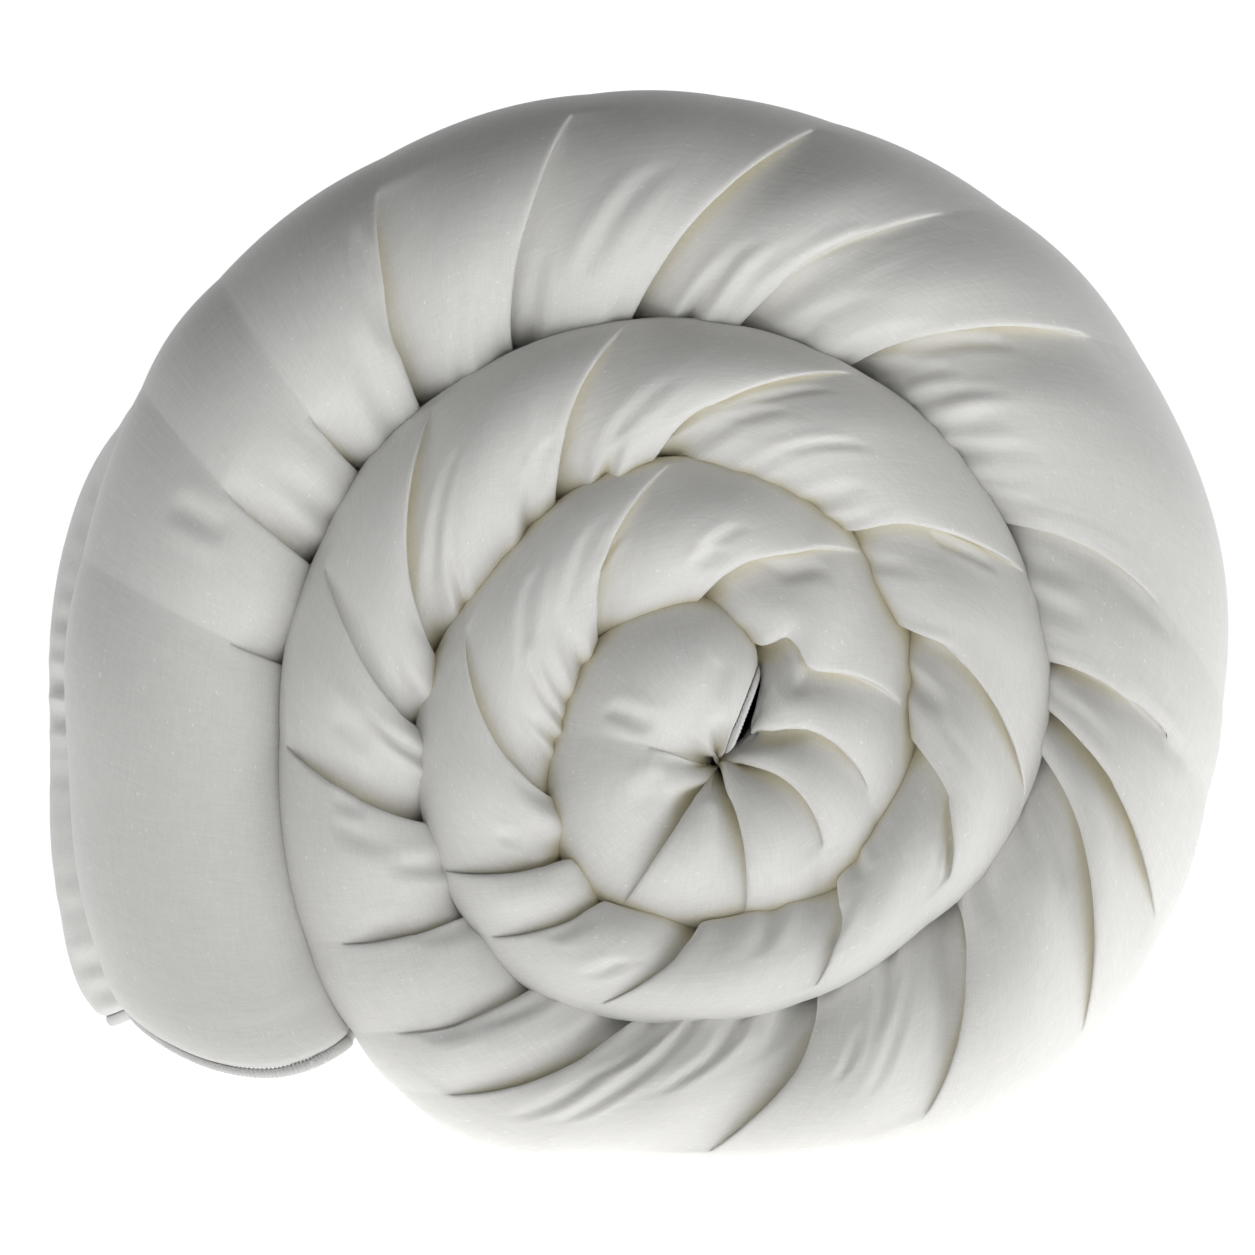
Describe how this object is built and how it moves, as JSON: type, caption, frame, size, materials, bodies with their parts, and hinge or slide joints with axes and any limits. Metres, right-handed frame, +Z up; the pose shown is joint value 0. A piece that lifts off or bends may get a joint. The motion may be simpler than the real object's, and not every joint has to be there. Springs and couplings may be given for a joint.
{
  "type": "rolled duvet",
  "caption": "Plain white single duvet, folded in half along its length and rolled up on its side, with overlocked hems and a free end that lifts off the roll.",
  "frame": {"origin": "on the floor, under the middle of the duvet's box", "axes": "+Z up; +Y along the axis of the roll, from the folded edge to the side seams; +X to the right seen from the folded edge, away from the free end"},
  "size_m": [0.3848, 0.6652, 0.3476],
  "materials": {
    "cotton_face": "matte",
    "cotton_back": "matte",
    "fibre_filling": "matte",
    "overlock_thread": "satin",
    "label_satin": "satin"
  },
  "bodies": {
    "roll": {"roll_face_panel": "cotton_face", "roll_filling": "fibre_filling", "roll_back_panel": "cotton_back", "roll_outer_side_hem": "overlock_thread", "roll_inner_side_hem": "overlock_thread", "core_end_hem": "overlock_thread", "care_label": "label_satin"},
    "free_end": {"free_end_face_panel": "cotton_face", "free_end_filling": "fibre_filling", "free_end_back_panel": "cotton_back", "free_end_outer_side_hem": "overlock_thread", "free_end_inner_side_hem": "overlock_thread", "free_end_hem": "overlock_thread"}
  },
  "joints": [
    {"name": "free_end_lift", "type": "hinge", "parent": "roll", "child": "free_end", "pos_m": [-0.11965, 0, 0.30482], "axis": [0, 1, 0], "range_deg": [0, 60]}
  ]
}
